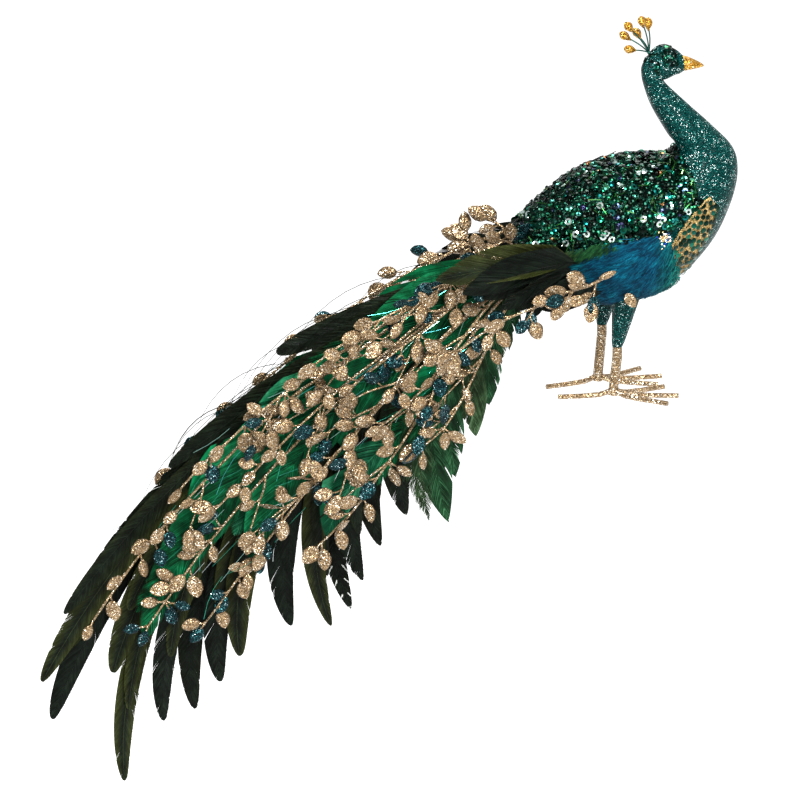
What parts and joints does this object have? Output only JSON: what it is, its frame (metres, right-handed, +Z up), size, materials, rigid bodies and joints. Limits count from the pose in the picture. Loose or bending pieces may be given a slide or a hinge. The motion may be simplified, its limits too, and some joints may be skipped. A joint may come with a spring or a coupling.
{
  "type": "peacock figurine",
  "caption": "Perching peacock ornament: glitter body and neck, sequin back, long hanging tail of feathers and wire leaf sprays, and wire feet that fix to a ledge or branch.",
  "frame": {"origin": "on the perch plane under the soles, between the two feet", "axes": "+X the way the bird faces, +Y to its left, +Z up"},
  "size_m": [0.6219, 0.1206, 0.6738],
  "materials": {
    "teal_glitter": "fine teal glitter",
    "gold_glitter": "gold glitter and foil",
    "champagne_glitter": "champagne glitter over wire",
    "sequin_green": "dark green cup sequins and tinsel",
    "blue_down": "dyed down",
    "black_feather": "green-black cock feather",
    "green_feather": "dyed emerald feather"
  },
  "bodies": {
    "root": {"beak": "gold_glitter", "body": "teal_glitter", "crest": "gold_glitter", "down_tuft_left": "blue_down", "down_tuft_right": "blue_down", "filigree_left": "gold_glitter", "filigree_right": "gold_glitter", "flank_spray": "champagne_glitter", "green_feather_left_1": "green_feather", "green_feather_left_2": "green_feather", "green_feather_right_1": "green_feather", "green_feather_right_2": "green_feather", "green_feather_right_3": "green_feather", "hanging_feather_1": "black_feather", "hanging_feather_2": "black_feather", "hanging_feather_3": "black_feather", "hanging_feather_4": "black_feather", "hanging_feather_5": "black_feather", "hanging_feather_6": "black_feather", "hanging_feather_7": "black_feather", "hanging_feather_8": "black_feather", "leaf_spray_left_1": "champagne_glitter", "leaf_spray_left_2": "champagne_glitter", "leaf_spray_left_3": "champagne_glitter", "leaf_spray_left_4": "champagne_glitter", "leaf_spray_left_5": "champagne_glitter", "leaf_spray_right_1": "champagne_glitter", "leaf_spray_right_10": "champagne_glitter", "leaf_spray_right_11": "champagne_glitter", "leaf_spray_right_2": "champagne_glitter", "leaf_spray_right_3": "champagne_glitter", "leaf_spray_right_4": "champagne_glitter", "leaf_spray_right_5": "champagne_glitter", "leaf_spray_right_6": "champagne_glitter", "leaf_spray_right_7": "champagne_glitter", "leaf_spray_right_8": "champagne_glitter", "leaf_spray_right_9": "champagne_glitter", "leg_left": "champagne_glitter", "leg_right": "champagne_glitter", "sequin_coat": "sequin_green", "thigh_left": "teal_glitter", "thigh_right": "teal_glitter", "train_feather_1": "black_feather", "train_feather_2": "black_feather", "train_feather_3": "black_feather", "train_feather_4": "black_feather", "train_feather_5": "black_feather", "train_feather_6": "black_feather", "train_feather_7": "black_feather", "train_feather_8": "black_feather", "upper_feather_1": "black_feather", "upper_feather_2": "black_feather", "upper_feather_3": "black_feather", "wing_feather_left_1": "black_feather", "wing_feather_left_2": "black_feather", "wing_feather_left_3": "black_feather", "wing_feather_right_1": "black_feather", "wing_feather_right_2": "black_feather", "wing_feather_right_3": "black_feather"}
  },
  "joints": []
}
